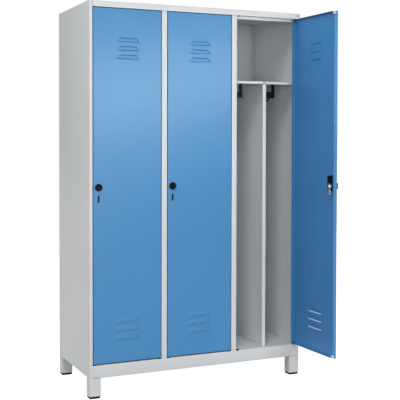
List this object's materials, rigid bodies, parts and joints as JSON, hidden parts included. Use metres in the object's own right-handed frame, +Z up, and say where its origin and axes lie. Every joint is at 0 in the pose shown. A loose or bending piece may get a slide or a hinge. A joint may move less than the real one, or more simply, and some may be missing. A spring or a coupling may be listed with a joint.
{
  "type": "locker cabinet",
  "caption": "Steel clothes locker on box-section feet with inset blue doors, louvres, knob latches, hat shelves, middle dividers and coat hooks.",
  "frame": {"origin": "on the floor, at the middle of the front left foot's underside; the cabinet's front left corner is 29 mm to its left and 25 mm in front", "axes": "+X to the right along the front, +Y towards the back, +Z up"},
  "size_m": [1.2154, 0.8467, 1.95],
  "materials": {
    "carcass_grey": "light grey powder coat, fine texture, satin",
    "door_blue": "light blue powder coat, fine texture, satin",
    "black_plastic": "black moulded plastic, satin",
    "foot_black": "black moulded plastic, matt",
    "zinc_steel": "bright zinc plated steel"
  },
  "bodies": {
    "carcass": {"side_panel_left": "carcass_grey", "side_panel_right": "carcass_grey", "top_panel": "carcass_grey", "bottom_panel": "carcass_grey", "back_panel": "carcass_grey", "partition_1": "carcass_grey", "partition_2": "carcass_grey", "foot_front_left": "carcass_grey", "foot_front_right": "carcass_grey", "foot_rear_left": "carcass_grey", "foot_rear_right": "carcass_grey", "foot_glide_front_left": "foot_black", "foot_glide_front_right": "foot_black", "foot_glide_rear_left": "foot_black", "foot_glide_rear_right": "foot_black", "hat_shelf_1": "carcass_grey", "divider_1": "carcass_grey", "coat_hook_1_left": "black_plastic", "coat_hook_1_right": "black_plastic", "hinge_pin_top_1": "black_plastic", "hinge_pin_bottom_1": "black_plastic", "hole_cap_top_1": "black_plastic", "hole_cap_bottom_1": "black_plastic", "hat_shelf_2": "carcass_grey", "divider_2": "carcass_grey", "coat_hook_2_left": "black_plastic", "coat_hook_2_right": "black_plastic", "hinge_pin_top_2": "black_plastic", "hinge_pin_bottom_2": "black_plastic", "hole_cap_top_2": "black_plastic", "hole_cap_bottom_2": "black_plastic", "hat_shelf_3": "carcass_grey", "divider_3": "carcass_grey", "coat_hook_3_left": "black_plastic", "coat_hook_3_right": "black_plastic", "hinge_pin_top_3": "black_plastic", "hinge_pin_bottom_3": "black_plastic", "hole_cap_top_3": "black_plastic", "hole_cap_bottom_3": "black_plastic"},
    "door_1": {"door_1": "door_blue", "lock_case_1": "black_plastic", "slot_insert_1": "black_plastic", "inside_plug_1": "black_plastic"},
    "latch_1": {"knob_1": "black_plastic", "latch_tongue_1": "zinc_steel", "tongue_screw_1": "zinc_steel"},
    "door_2": {"door_2": "door_blue", "lock_case_2": "black_plastic", "slot_insert_2": "black_plastic", "inside_plug_2": "black_plastic"},
    "latch_2": {"knob_2": "black_plastic", "latch_tongue_2": "zinc_steel", "tongue_screw_2": "zinc_steel"},
    "door_3": {"door_3": "door_blue", "lock_case_3": "black_plastic", "slot_insert_3": "black_plastic", "inside_plug_3": "black_plastic"},
    "latch_3": {"knob_3": "black_plastic", "latch_tongue_3": "zinc_steel", "tongue_screw_3": "zinc_steel"}
  },
  "joints": [
    {"name": "door_1_hinge", "type": "hinge", "parent": "carcass", "child": "door_1", "pos_m": [0.345, -0.017, 0.169], "axis": [0, 0, 1], "range_deg": [0, 105]},
    {"name": "latch_1_turn", "type": "hinge", "parent": "door_1", "child": "latch_1", "pos_m": [0.0175, -0.017, 1.038], "axis": [0, 1, 0], "range_deg": [0, 90]},
    {"name": "door_2_hinge", "type": "hinge", "parent": "carcass", "child": "door_2", "pos_m": [0.745, -0.017, 0.169], "axis": [0, 0, 1], "range_deg": [0, 105]},
    {"name": "latch_2_turn", "type": "hinge", "parent": "door_2", "child": "latch_2", "pos_m": [0.416, -0.017, 1.038], "axis": [0, 1, 0], "range_deg": [0, 90]},
    {"name": "door_3_hinge", "type": "hinge", "parent": "carcass", "child": "door_3", "pos_m": [1.1435, -0.017, 0.169], "axis": [0, 0, 1], "range_deg": [-92, 13]},
    {"name": "latch_3_turn", "type": "hinge", "parent": "door_3", "child": "latch_3", "pos_m": [1.15493, -0.3443, 1.038], "axis": [-0.9994, -0.0349, 0], "range_deg": [0, 90]}
  ]
}
